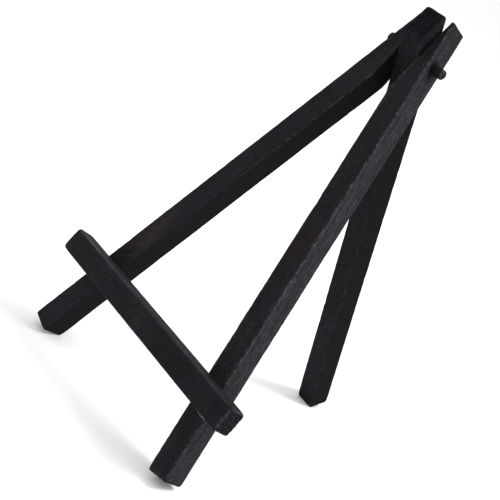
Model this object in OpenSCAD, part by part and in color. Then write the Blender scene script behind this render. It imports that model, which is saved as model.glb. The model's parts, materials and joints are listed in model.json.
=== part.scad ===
// Small three-legged display easel. The front frame is two splayed square-section legs with a
// crossbar on their front faces. The rear leg swings on a dowel between the tops of the front legs.
// Everything is drawn about the dowel's axis, then leaned back and stood on its feet at z = 0.
// x is across the easel, y runs to the back, z is up.

/* [Front legs] */
// Width of a front leg across its front face
leg_w = 7.7; // [6.4:0.1:10]
// Depth of a front leg from front to back
leg_d = 8.4; // [6.8:0.1:10.5]
// Length of a front leg
leg_len = 164.4; // [135:0.2:205]
// Angle between a front leg and the easel's centre plane
splay = 12.8; // [10:0.1:16]
// Distance from a front leg's square-cut top down to the dowel, along the leg
pivot_from_top = 11.9; // [9.5:0.1:17]

/* [Crossbar] */
// Length of the crossbar
bar_len = 94; // [84:0.5:118]
// Height of the crossbar's front face
bar_h = 8.2; // [6.6:0.1:10.5]
// Thickness of the crossbar, which is the depth of its ledge
bar_d = 7.4; // [6:0.1:12]
// Height of the crossbar's underside above the front feet, along the frame
bar_above_feet = 24.7; // [18:0.1:40]

/* [Rear leg] */
// Width of the rear leg
rear_w = 8; // [6.5:0.1:10]
// Depth of the rear leg
rear_d = 8.1; // [6.6:0.1:10]
// Length of the rear leg from the dowel to its foot
rear_below = 149.8; // [120:0.1:185]
// Length of the rear leg from the dowel to its blunt tip
rear_above = 14.1; // [12:0.1:20]
// Angle of the slanting cut across the rear leg's head
mitre = 45; // [40:1:50]
// Opening between the rear leg and the front frame, as it stands
opening = 41.6; // [30:0.1:60]

/* [Hinge] */
// Diameter of the dowel
dowel_d = 3; // [2:0.1:4]
// How far the dowel stands out of the right leg
dowel_out_right = 4.3; // [1:0.1:8]
// How far the dowel stands out of the left leg
dowel_out_left = 3; // [0.5:0.1:8]
// Radial clearance of the dowel in the rear leg
pin_gap = 0.05; // [0.03:0.01:0.1]
// Clearance between the rear leg and each front leg
slot_gap = 0.35; // [0.3:0.05:0.8]
// Height of the flat inside each front leg that lies below the dowel
slot_below = 14.2; // [11:0.1:20]
// Outward slant of the right leg's inner flat, which opens the gap towards the top
slot_flare = 1.6; // [0:0.1:3]

/* [Brads] */
// Diameter of a brad
brad_d = 1.2; // [0.9:0.1:1.6]
// Depth that a brad reaches into the crossbar
brad_grip = 4; // [2:0.5:5]
// Diameter of a brad's head
brad_head_d = 2; // [1.8:0.1:2.6]
// Thickness of a brad's head
brad_head_h = 0.5; // [0.3:0.1:0.8]

/* [Hidden] */
$fn = 48;
black = "#26262a";
over = 60;

// Half the space between the front legs' inner flats.
slot_half = rear_w / 2 + slot_gap;
// Slanting lengths of a front leg above and below the start of its inner flat.
leg_up = pivot_from_top + slot_below / cos(splay);
leg_low = leg_len - leg_up;
// Lowest corner of a front foot: the inner edge of its back face.
foot_z = -slot_below - leg_low * cos(splay);
foot_y = leg_d / 2;
// Lowest edge of the rear foot: the edge of its front face.
rear_foot_z = -rear_below * cos(opening) - rear_d / 2 * sin(opening);
rear_foot_y = rear_below * sin(opening) - rear_d / 2 * cos(opening);
// Lean that puts the front feet and the rear foot on one level.
lean = atan((rear_foot_z - foot_z) / (rear_foot_y - foot_y));
// Middle height of the crossbar in the frame.
bar_z = foot_z + bar_above_feet + bar_h / 2;
// Height of the dowel above the ground.
pivot_z = foot_y * sin(lean) - foot_z * cos(lean);
// Foremost and rearmost points, measured from the dowel. The origin lies midway between them.
foot_front_y = foot_z * sin(lean) - leg_d / 2 * cos(lean);
bar_front_y = (bar_z - bar_h / 2) * sin(lean) - (leg_d / 2 + bar_d) * cos(lean);
back_y = rear_below * sin(opening - lean) + rear_d / 2 * cos(opening - lean);
pivot_y = -(min(foot_front_y, bar_front_y) + back_y) / 2;

// x of a front leg's inner face at height z, and of its outer face.
function inner_x(z) = slot_half - (z + slot_below) * tan(splay);
function outer_x(z) = inner_x(z) + leg_w / cos(splay);
brad_x = (inner_x(bar_z) + outer_x(bar_z)) / 2;

// Stands the front frame on its feet.
module stand() {
    translate([0, pivot_y, pivot_z]) rotate([-lean, 0, 0]) children();
}

// A square timber, standing upright from z = bottom to z = top.
module timber(w, d, bottom, top) {
    translate([-w / 2, -d / 2, bottom]) cube([w, d, top - bottom]);
}

// The dowel as a solid along x, from x = from to x = to.
module dowel_along_x(d, from, to) {
    translate([from, 0, 0]) rotate([0, 90, 0]) cylinder(d = d, h = to - from);
}

// A brad, pointing to the front, with its head flush with the leg's back face.
module brad_solid() {
    rotate([90, 0, 0]) {
        translate([0, 0, -leg_d / 2]) cylinder(d = brad_d, h = leg_d + brad_grip);
        translate([0, 0, -leg_d / 2]) cylinder(d = brad_head_d, h = brad_head_h);
    }
}

// A front leg on the +x side, with its inner flat, dowel hole and brad hole.
module front_leg(flare) {
    difference() {
        translate([slot_half, 0, -slot_below])
            rotate([0, -splay, 0])
                translate([leg_w / 2, 0, 0]) timber(leg_w, leg_d, -leg_low, leg_up);
        translate([slot_half, 0, -slot_below])
            rotate([0, flare, 0])
                translate([-over, -over / 2, 0]) cube([over, over, over]);
        dowel_along_x(dowel_d, 0, over);
        translate([brad_x, 0, bar_z]) brad_solid();
    }
}

module front_leg_left() {
    color(black) stand() mirror([1, 0, 0]) front_leg(0);
}

module front_leg_right() {
    color(black) stand() front_leg(slot_flare);
}

// The rear leg: its head is cut across at a slant, from the front face up to a blunt tip.
module rear_leg() {
    mitre_z = rear_above - (rear_d - 1.2) * tan(mitre);
    color(black) stand() rotate([opening, 0, 0])
        difference() {
            timber(rear_w, rear_d, -rear_below, rear_above);
            translate([0, -rear_d / 2, mitre_z])
                rotate([mitre, 0, 0])
                    translate([-over / 2, -over / 2, 0]) cube([over, over, over]);
            dowel_along_x(dowel_d + 2 * pin_gap, -over / 2, over / 2);
        }
}

module crossbar() {
    color(black) stand()
        difference() {
            translate([-bar_len / 2, -leg_d / 2 - bar_d, bar_z - bar_h / 2])
                cube([bar_len, bar_d, bar_h]);
            for (side = [-1, 1])
                translate([side * brad_x, 0, bar_z]) brad_solid();
        }
}

module pivot_dowel() {
    color("#77736c") stand()
        dowel_along_x(dowel_d, -outer_x(0) - dowel_out_left, outer_x(0) + dowel_out_right);
}

module brad_left() {
    color("silver") stand() translate([-brad_x, 0, bar_z]) brad_solid();
}

module brad_right() {
    color("silver") stand() translate([brad_x, 0, bar_z]) brad_solid();
}

front_leg_left();
front_leg_right();
rear_leg();
crossbar();
pivot_dowel();
brad_left();
brad_right();
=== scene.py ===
"""Looks of a small black-stained display easel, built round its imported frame.

Every timber is a swept mesh with rounded, worn arrises. A Geometry Nodes tree then gives it its sawn
surface and the fibres that stand up from it. Lengths are in millimetres until a mesh is placed.
"""

import json
import logging
import math
from dataclasses import dataclass
from enum import Enum
from typing import Any, Callable

import bmesh
import bpy
import numpy as np
from mathutils import Matrix, Vector


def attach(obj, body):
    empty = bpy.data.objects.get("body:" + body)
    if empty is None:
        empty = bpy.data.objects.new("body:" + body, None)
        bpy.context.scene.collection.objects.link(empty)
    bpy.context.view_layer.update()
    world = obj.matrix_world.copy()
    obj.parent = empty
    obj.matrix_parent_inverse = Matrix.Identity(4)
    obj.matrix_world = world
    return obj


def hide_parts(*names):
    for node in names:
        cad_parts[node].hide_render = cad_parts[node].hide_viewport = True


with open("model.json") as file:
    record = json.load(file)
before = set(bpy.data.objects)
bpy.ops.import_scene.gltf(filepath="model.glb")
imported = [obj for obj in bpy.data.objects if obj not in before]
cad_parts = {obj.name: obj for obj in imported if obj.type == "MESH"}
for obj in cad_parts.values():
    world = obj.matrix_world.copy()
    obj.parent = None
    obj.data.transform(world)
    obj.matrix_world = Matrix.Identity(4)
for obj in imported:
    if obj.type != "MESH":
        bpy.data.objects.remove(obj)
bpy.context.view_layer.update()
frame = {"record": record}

logging.basicConfig(level=logging.INFO, format="%(message)s")
log = logging.getLogger("easel")

MM = 0.001

Three = tuple[float, float, float]
Four = tuple[float, float, float, float]
Spots = tuple[Three, ...]
Faces = list[tuple[int, ...]]
Hole = tuple[Matrix, float, float]
Cut = Callable[[np.ndarray, np.ndarray], np.ndarray]
Value = bpy.types.NodeSocket | float


# ---------------------------------------------------------------------------------------------
# Sizes and places
# ---------------------------------------------------------------------------------------------


@dataclass(frozen=True)
class EaselSizes:
    """The easel's driving dimensions, in millimetres and degrees, as the frame has them."""

    leg_w: float = 7.7
    leg_d: float = 8.4
    leg_len: float = 164.4
    splay: float = 12.8
    pivot_from_top: float = 11.9
    bar_len: float = 94.0
    bar_h: float = 8.2
    bar_d: float = 7.4
    bar_above_feet: float = 24.7
    rear_w: float = 8.0
    rear_d: float = 8.1
    rear_below: float = 149.8
    rear_above: float = 14.1
    tip_flat: float = 1.2
    mitre: float = 45.0
    opening: float = 41.6
    dowel_d: float = 3.0
    dowel_out_right: float = 4.3
    dowel_out_left: float = 3.0
    slot_gap: float = 0.35
    slot_below: float = 14.2
    slot_flare: float = 1.6
    brad_d: float = 1.2
    brad_grip: float = 4.0
    brad_head_d: float = 2.0
    brad_head_h: float = 0.5

    @property
    def slot_half(self) -> float:
        """Half the space between the front legs' inner flats."""
        return self.rear_w / 2 + self.slot_gap

    @property
    def leg_up(self) -> float:
        """Length of a front leg above the start of its inner flat."""
        return self.pivot_from_top + self.slot_below / math.cos(math.radians(self.splay))

    @property
    def leg_low(self) -> float:
        """Length of a front leg below the start of its inner flat."""
        return self.leg_len - self.leg_up

    @property
    def foot_z(self) -> float:
        """Height of a front foot's inner corner, from the dowel, along the frame."""
        return -self.slot_below - self.leg_low * math.cos(math.radians(self.splay))

    @property
    def bar_z(self) -> float:
        """Height of the crossbar's middle, from the dowel, along the frame."""
        return self.foot_z + self.bar_above_feet + self.bar_h / 2

    @property
    def lean(self) -> float:
        """Angle in radians that the front frame leans back, so that all three feet touch.

        Returns:
            The angle that puts the rear foot's lower corner level with the front feet's back corners.
        """
        opening = math.radians(self.opening)
        half = self.rear_d / 2
        rear_z = -self.rear_below * math.cos(opening) - half * math.sin(opening)
        rear_y = self.rear_below * math.sin(opening) - half * math.cos(opening)
        return math.atan((rear_z - self.foot_z) / (rear_y - self.leg_d / 2))

    def inner_x(self, z: float) -> float:
        """x of a front leg's inner face at height z, before its flat is cut."""
        return self.slot_half - (z + self.slot_below) * math.tan(math.radians(self.splay))

    def outer_x(self, z: float) -> float:
        """x of a front leg's outer face at height z."""
        return self.inner_x(z) + self.leg_w / math.cos(math.radians(self.splay))


SIZES = EaselSizes()


class Side(Enum):
    """Which side of the easel a piece is on, as the sign of x."""

    LEFT = -1
    RIGHT = 1

    @property
    def word(self) -> str:
        """The side's name as the pieces' names have it."""
        return self.name.lower()


def standing_frame() -> Matrix:
    """Gives the place of the front frame: its origin on the dowel, leaned back on its feet.

    Returns:
        The matrix from the front frame's millimetres to the scene's metres.
    """
    hinge = Vector(frame["record"]["behaviour"]["joints"][0]["pos_m"])
    return Matrix.Translation(hinge) @ Matrix.Rotation(-SIZES.lean, 4, "X") @ Matrix.Scale(MM, 4)


# ---------------------------------------------------------------------------------------------
# Node trees
# ---------------------------------------------------------------------------------------------


def add_node(
    tree: bpy.types.NodeTree, kind: str, inputs: dict[Any, Any] | None = None, **settings: Any
) -> bpy.types.Node:
    """Adds a node, sets its properties, and fills or links its inputs.

    Args:
        tree: The tree that gets the node.
        kind: The node's type name.
        inputs: Socket name or number to a value, or to another node's output socket.
        **settings: Properties of the node itself.

    Returns:
        The new node.
    """
    node = tree.nodes.new(kind)
    for name, value in settings.items():
        setattr(node, name, value)
    for key, value in (inputs or {}).items():
        if isinstance(value, bpy.types.NodeSocket):
            tree.links.new(value, node.inputs[key])
        else:
            node.inputs[key].default_value = value
    return node


def linear(hex_colour: str) -> Four:
    """Turns an sRGB hex colour into linear RGBA, by the standard's own formula.

    Args:
        hex_colour: Six hex digits with a leading #.

    Returns:
        Linear red, green, blue and an alpha of 1.
    """
    values = [int(hex_colour[i : i + 2], 16) / 255 for i in (1, 3, 5)]
    red, green, blue = (v / 12.92 if v <= 0.04045 else ((v + 0.055) / 1.055) ** 2.4 for v in values)
    return (red, green, blue, 1.0)


# ---------------------------------------------------------------------------------------------
# Finishes
# ---------------------------------------------------------------------------------------------


@dataclass(frozen=True)
class Pattern:
    """Noise whose grains are across millimetres wide and along millimetres long."""

    across: float
    along: float
    detail: float
    rough: float = 0.55


@dataclass(frozen=True)
class Step:
    """An eased step of another value: least at its low level and most at its high one."""

    of: str
    low: float
    high: float
    least: float = 0.0
    most: float = 1.0


@dataclass(frozen=True)
class Sum:
    """One arithmetic step on two values, kept between 0 and 1."""

    operation: str
    first: str
    second: str | float


@dataclass(frozen=True)
class StainedPine:
    """Sawn pine strip under one coat of black water stain.

    The stain soaks in unevenly: pores and end grain go deep black, hard fibres and arrises that wear
    has reached stay grey, and a thin spot lets the brown of the wood through. The grey on arrises is
    also a painted highlight, and whole faces are painted lighter or darker for the light and shade
    they are in. It dries dead matt, violet where the dye lies thick and olive where it lies thin.

    deep and body are the ground, thin and rubbed lie over it where the stain is thin or gone, and
    where a face is painted lighter for the light on it, and rubbed also paints highlights on arrises.
    stroke is what the saw left on a cut end. Fields that end in mm are the sizes of the wood's own
    patterns. A real fibre is about 0.03 mm wide, too fine to show, so fibre_mm is a bundle of them.
    The plain shares, from 0 to 1, say how strongly a pattern shows.
    """

    name: str
    deep: str = "#0c0c0e"
    body: str = "#151518"
    thin: str = "#29292e"
    rubbed: str = "#45454b"
    brown: str = "#21150f"
    violet: str = "#16141d"
    olive: str = "#161614"
    torn: str = "#272224"
    end_black: str = "#060607"
    end_grey: str = "#1a1a1e"
    stroke: str = "#1d1a24"
    fibre_mm: float = 0.42
    fibre_run_mm: float = 3.2
    blotch_mm: float = 16.0
    speck_mm: float = 0.55
    rub_run_mm: float = 1.8
    cast_mm: float = 9.0
    relief_mm: float = 0.06
    arris_wear: float = 0.55
    rub_least: float = 0.05
    cast: float = 0.5
    end_glint: float = 0.25
    hairs: float = 0.8
    streak_least: float = 0.8
    flecks: float = 0.4
    roughness: float = 0.78
    roughness_swing: float = 0.08
    specular: float = 0.09
    end_specular: float = 0.03
    relief_strength: float = 0.7
    wood_ior: float = 1.5

    MASKS = ("arris", "soaked", "bare", "fibre", "brown", "pooled", "torn")
    # Directions across and along the saw's strokes on the mitre, then the noise's scale in each.
    SAW_ACROSS = (0.92, -0.28, -0.28)
    SAW_ALONG = (0.39, 0.65, 0.65)
    SAW_STROKE = (1.6, 0.22, 0.0)

    def patterns(self) -> dict[str, Pattern]:
        """Sizes the wood's patterns.

        Returns:
            Each noise that the finish reads, by its name.
        """
        return {
            "fibres": Pattern(self.fibre_mm, self.fibre_run_mm, 4.0, 0.65),
            "fine": Pattern(self.fibre_mm * 0.5, self.fibre_run_mm * 0.3, 2.0),
            "grit": Pattern(self.speck_mm * 0.6, self.speck_mm * 0.9, 3.0, 0.7),
            "specks": Pattern(self.speck_mm, self.speck_mm * 1.8, 2.0),
            "blotches": Pattern(self.blotch_mm * 0.6, self.blotch_mm, 2.0),
            "rubs": Pattern(0.6, self.rub_run_mm, 3.0),
            "pores": Pattern(0.45, 1.2, 3.0, 0.7),
            "dye": Pattern(self.cast_mm * 0.5, self.cast_mm, 2.0),
            "dots": Pattern(0.8, 2.0, 2.0, 0.6),
            "swirl": Pattern(1.1, 1.5, 3.0, 0.6),
            "rings": Pattern(0.9, 22.0, 2.0),
        }

    def rules(self) -> dict[str, Step | Sum]:
        """Says how the patterns and the masks make the share of each colour.

        Returns:
            Steps and sums by name, each after those that it reads.
        """
        low_rough = self.roughness - self.roughness_swing
        high_rough = self.roughness + self.roughness_swing
        return {
            "strand": Step("fibres", 0.36, 0.64),
            "patch": Step("blotches", 0.42, 0.66, 0.0, 0.3),
            "streak": Step("rings", 0.36, 0.60, self.streak_least, 1.0),
            # Painted light and shade: the faces' values are partly thin stain and partly light and shade
            # painted on whole faces.
            "patchy": Sum("ADD", "patch", "bare"),
            "thinned": Sum("MULTIPLY", "patchy", "streak"),
            "lit": Step("fibres", 0.36, 0.66, 0.35, 1.0),
            "lit_thin": Sum("MULTIPLY", "lit", "thinned"),
            "hair": Step("fine", 0.5, 0.68, 0.0, self.hairs),
            "hair_thin": Sum("MULTIPLY", "hair", "thinned"),
            "grit_light": Step("grit", 0.5, 0.68, 0.0, 0.35),
            "grit_dark": Step("grit", 0.5, 0.34, 0.0, 0.6),
            "speck": Step("specks", 0.66, 0.76, 0.0, 0.4),
            "fleck": Step("dots", 0.48, 0.34, 0.0, self.flecks),
            "brown_strand": Step("fibres", 0.3, 0.6),
            "browned": Sum("MULTIPLY", "brown", "brown_strand"),
            "swirl_light": Step("swirl", 0.48, 0.62, 0.0, 0.6),
            "swirl_dark": Step("swirl", 0.50, 0.38),
            "torn_light": Sum("MULTIPLY", "torn", "swirl_light"),
            "torn_dark": Sum("MULTIPLY", "torn", "swirl_dark"),
            "dye_thick": Step("dye", 0.46, 0.62, 0.0, self.cast),
            "dye_thin": Step("dye", 0.50, 0.34, 0.0, self.cast),
            # Painted shade: where a face's value is below 0, the face is painted darker.
            "drenched": Sum("MULTIPLY", "bare", -1.0),
            "raised": Sum("MULTIPLY", "fibre", 0.5),
            "pore": Step("pores", 0.46, 0.66),
            "sawn": Step("strokes", 0.46, 0.62, 0.0, 0.75),
            "glint": Step("grit", 0.60, 0.72, 0.0, self.end_glint),
            "fray": Step("fibres", 0.3, 0.7, -0.25, 0.25),
            "frayed": Sum("ADD", "soaked", "fray"),
            "end_grain": Step("frayed", 0.45, 0.75, 0.0, 0.92),
            # Painted highlight: the grey on arrises is partly real wear and partly a painted highlight.
            "rub": Step("rubs", 0.42, 0.66, self.rub_least, self.arris_wear),
            "worn": Sum("MULTIPLY", "arris", "rub"),
            "fibre_height": Sum("MULTIPLY", "fibres", 0.45),
            "grit_height": Sum("MULTIPLY", "grit", 0.55),
            "height": Sum("ADD", "fibre_height", "grit_height"),
            "roughness": Step("fine", 0.3, 0.7, low_rough, high_rough),
            # The painted shadow under the dowel's knob takes the sheen down, as the soaked end grain does.
            "wetted": Sum("MAXIMUM", "soaked", "pooled"),
            "sheen": Step("wetted", 0.0, 1.0, self.specular, self.end_specular),
        }

    def face_coat(self) -> list[tuple[str, str]]:
        """Lists what lies over the deep black of a face.

        Returns:
            The share and the colour of each layer, from the lowest up.
        """
        return [
            ("strand", self.body),
            ("lit_thin", self.thin),
            ("hair_thin", self.rubbed),
            ("grit_light", self.thin),
            ("grit_dark", self.deep),
            ("speck", self.rubbed),
            ("fleck", self.end_black),
            ("browned", self.brown),
            ("torn_light", self.torn),
            ("torn_dark", self.end_black),
            ("dye_thick", self.violet),
            ("dye_thin", self.olive),
            # Painted shade: the next layer darkens faces in shade, and the one after paints the shadow under
            # the dowel's knob.
            ("drenched", self.end_black),
            ("pooled", self.end_black),
            ("raised", self.thin),
        ]

    def end_coat(self) -> list[tuple[str, str]]:
        """Lists what lies over the black of a cut end.

        Returns:
            The share and the colour of each layer, from the lowest up.
        """
        return [("pore", self.end_grey), ("sawn", self.stroke), ("glint", self.rubbed)]

    def saw_strokes(self, tree: bpy.types.NodeTree, grain: bpy.types.NodeSocket) -> bpy.types.NodeSocket:
        """Draws the marks that a circular saw leaves on a mitre, about half a millimetre apart.

        Args:
            tree: The material's tree.
            grain: The timber's own coordinates.

        Returns:
            A noise drawn out along the strokes.
        """
        across, along = (
            add_node(tree, "ShaderNodeVectorMath", {0: grain, 1: way}, operation="DOT_PRODUCT")
            for way in (self.SAW_ACROSS, self.SAW_ALONG)
        )
        spot = add_node(
            tree, "ShaderNodeCombineXYZ", {"X": across.outputs["Value"], "Y": along.outputs["Value"]}
        )
        drawn_out = add_node(
            tree, "ShaderNodeVectorMath", {0: spot.outputs[0], 1: self.SAW_STROKE}, operation="MULTIPLY"
        )
        strokes = add_node(
            tree,
            "ShaderNodeTexNoise",
            {"Vector": drawn_out.outputs[0], "Scale": 1.0, "Detail": 3.0, "Distortion": 0.6},
        )
        return strokes.outputs["Fac"]

    def values(self, tree: bpy.types.NodeTree) -> dict[str, Value]:
        """Works out every mask, pattern, step and sum that the finish reads.

        Args:
            tree: The material's tree.

        Returns:
            A socket by each one's name.
        """
        grain = add_node(tree, "ShaderNodeAttribute", attribute_name="grain").outputs["Vector"]
        found: dict[str, Value] = {"strokes": self.saw_strokes(tree, grain)}
        for name in self.MASKS:
            found[name] = add_node(tree, "ShaderNodeAttribute", attribute_name=name).outputs["Fac"]
        for name, pattern in self.patterns().items():
            scale = (1 / pattern.across, 1 / pattern.across, 1 / pattern.along)
            spot = add_node(tree, "ShaderNodeVectorMath", {0: grain, 1: scale}, operation="MULTIPLY")
            settings = {"Scale": 1.0, "Detail": pattern.detail, "Roughness": pattern.rough}
            noise = add_node(tree, "ShaderNodeTexNoise", {"Vector": spot.outputs[0], **settings})
            found[name] = noise.outputs["Fac"]
        for name, rule in self.rules().items():
            if isinstance(rule, Step):
                levels = {"From Min": rule.low, "From Max": rule.high}
                ends = {"To Min": rule.least, "To Max": rule.most}
                step = add_node(
                    tree,
                    "ShaderNodeMapRange",
                    {"Value": found[rule.of], **levels, **ends},
                    interpolation_type="SMOOTHSTEP",
                )
                found[name] = step.outputs["Result"]
            else:
                terms = {0: found[rule.first], 1: found.get(rule.second, rule.second)}
                result = add_node(tree, "ShaderNodeMath", terms, operation=rule.operation, use_clamp=True)
                found[name] = result.outputs[0]
        return found

    def coat(
        self,
        tree: bpy.types.NodeTree,
        found: dict[str, Value],
        ground: Value | Four,
        layers: list[tuple[str, Value | str]],
    ) -> bpy.types.NodeSocket:
        """Lays colours over one another.

        Args:
            tree: The material's tree.
            found: The finish's values.
            ground: The lowest colour.
            layers: The share of each layer and its colour, in hex or from a socket, from the lowest up.

        Returns:
            The colour on top.
        """
        colour = ground
        for share, over in layers:
            top = linear(over) if isinstance(over, str) else over
            mixed = {"Factor": found[share], "A": colour, "B": top}
            colour = add_node(tree, "ShaderNodeMix", mixed, data_type="RGBA").outputs["Result"]
        return colour

    def material(self) -> bpy.types.Material:
        """Builds the material.

        Returns:
            A material that reads the timber's own grain coordinates, in millimetres.
        """
        mat = bpy.data.materials.new(self.name)
        mat.use_nodes = True
        tree = mat.node_tree
        tree.nodes.clear()
        found = self.values(tree)
        face = self.coat(tree, found, linear(self.deep), self.face_coat())
        end = self.coat(tree, found, linear(self.end_black), self.end_coat())
        # The arris layer is partly real wear and partly a painted highlight.
        colour = self.coat(tree, found, face, [("end_grain", end), ("worn", self.rubbed)])
        bump = add_node(
            tree,
            "ShaderNodeBump",
            {"Strength": self.relief_strength, "Distance": self.relief_mm * MM, "Height": found["height"]},
        )
        shader = add_node(
            tree,
            "ShaderNodeBsdfPrincipled",
            {
                "Base Color": colour,
                "Roughness": found["roughness"],
                "Normal": bump.outputs["Normal"],
                "Specular IOR Level": found["sheen"],
                "IOR": self.wood_ior,
            },
        )
        add_node(tree, "ShaderNodeOutputMaterial", {"Surface": shader.outputs[0]})
        return mat


@dataclass(frozen=True)
class BradWire:
    """Plain drawn steel wire, dulled by handling: a soft grey glint with fine scratches.

    Real scratches are finer than scratch_mm, which draws them as coarse as they need to show.
    """

    name: str = "plain steel brad wire"
    steel: str = "#8b8c8f"
    tarnish: str = "#4d4a46"
    roughness: float = 0.42
    scratch_mm: float = 0.25
    scratch_depth: float = 0.02
    scratch_strength: float = 0.3
    tarnish_from: float = 0.4
    tarnish_to: float = 0.65

    def material(self) -> bpy.types.Material:
        """Builds the material.

        Returns:
            A metal with tarnish in patches.
        """
        mat = bpy.data.materials.new(self.name)
        mat.use_nodes = True
        tree = mat.node_tree
        tree.nodes.clear()
        place = add_node(tree, "ShaderNodeTexCoord")
        spots = add_node(
            tree,
            "ShaderNodeTexNoise",
            {"Vector": place.outputs["Object"], "Scale": 1 / (self.scratch_mm * MM), "Detail": 3.0},
        ).outputs["Fac"]
        step = add_node(
            tree,
            "ShaderNodeMapRange",
            {"Value": spots, "From Min": self.tarnish_from, "From Max": self.tarnish_to},
        )
        colour = add_node(
            tree,
            "ShaderNodeMix",
            {"Factor": step.outputs[0], "A": linear(self.steel), "B": linear(self.tarnish)},
            data_type="RGBA",
        )
        bump = add_node(
            tree,
            "ShaderNodeBump",
            {"Strength": self.scratch_strength, "Distance": self.scratch_depth * MM, "Height": spots},
        )
        shader = add_node(
            tree,
            "ShaderNodeBsdfPrincipled",
            {
                "Base Color": colour.outputs["Result"],
                "Metallic": 1.0,
                "Roughness": self.roughness,
                "Normal": bump.outputs["Normal"],
            },
        )
        add_node(tree, "ShaderNodeOutputMaterial", {"Surface": shader.outputs[0]})
        return mat


# ---------------------------------------------------------------------------------------------
# Meshes
# ---------------------------------------------------------------------------------------------


def ring_faces(rows: int, count: int) -> Faces:
    """Joins rings of points into a closed surface.

    Args:
        rows: Number of rings, from the bottom up.
        count: Points in each ring.

    Returns:
        The faces. Two more points, after those of the rings, close the bottom and the top.
    """
    faces: Faces = []
    for row in range(rows - 1):
        a, b = row * count, (row + 1) * count
        for n in range(count):
            m = (n + 1) % count
            faces.append((a + n, a + m, b + m, b + n))
    bottom, top = rows * count, rows * count + 1
    last = (rows - 1) * count
    for n in range(count):
        m = (n + 1) % count
        faces.append((m, n, bottom))
        faces.append((last + n, last + m, top))
    return faces


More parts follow.
